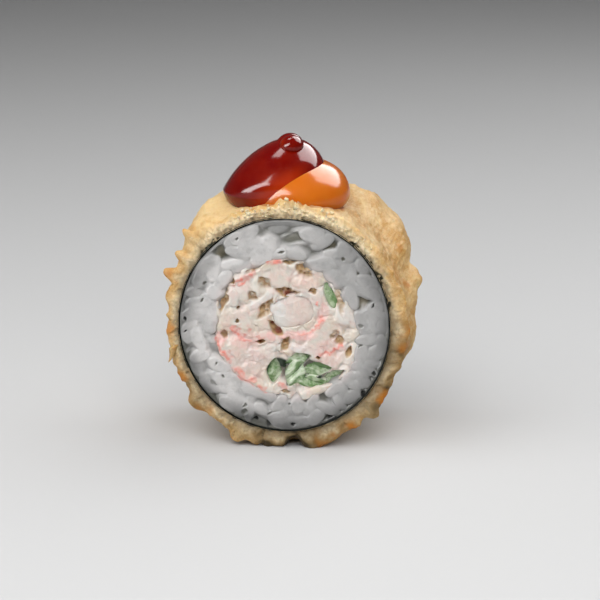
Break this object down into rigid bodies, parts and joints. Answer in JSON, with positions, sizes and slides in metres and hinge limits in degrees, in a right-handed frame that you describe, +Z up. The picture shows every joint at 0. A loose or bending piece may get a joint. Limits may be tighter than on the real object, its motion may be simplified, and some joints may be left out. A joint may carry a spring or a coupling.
{
  "type": "fried sushi roll",
  "caption": "Piece of crumbed, fried sushi roll standing on its crust, both ends cut, with rice, nori, a crab and cucumber filling, and a dollop of two sauces on top.",
  "frame": {"origin": "middle of the small flat spot on the crust that the piece rests on, under the roll's axis", "axes": "+Y along the roll's axis from the front cut face to the back one, +Z up from the flat spot to the sauces, +X to the right seen from the front"},
  "size_m": [0.0512, 0.0276, 0.0631],
  "materials": {
    "fried_crust": "golden fried crumb, rough and dry",
    "nori": "dark green-black seaweed sheet, damp",
    "rice": "cooked rice, moist and slightly translucent",
    "crab": "shredded crab stick, moist, with pink streaks",
    "cucumber": "cucumber, pale green flesh and dark green skin",
    "orange_sauce": "glossy orange sauce",
    "red_sauce": "glossy dark red sauce"
  },
  "bodies": {
    "root": {"crust": "fried_crust", "nori": "nori", "rice": "rice", "crab_salad": "crab", "crab_stick": "crab", "cucumber_strip_1": "cucumber", "cucumber_strip_2": "cucumber", "cucumber_strip_3": "cucumber", "cucumber_strip_4": "cucumber", "cucumber_strip_5": "cucumber", "cucumber_strip_6": "cucumber", "cucumber_strip_7": "cucumber", "orange_sauce": "orange_sauce", "red_sauce": "red_sauce"}
  },
  "joints": []
}
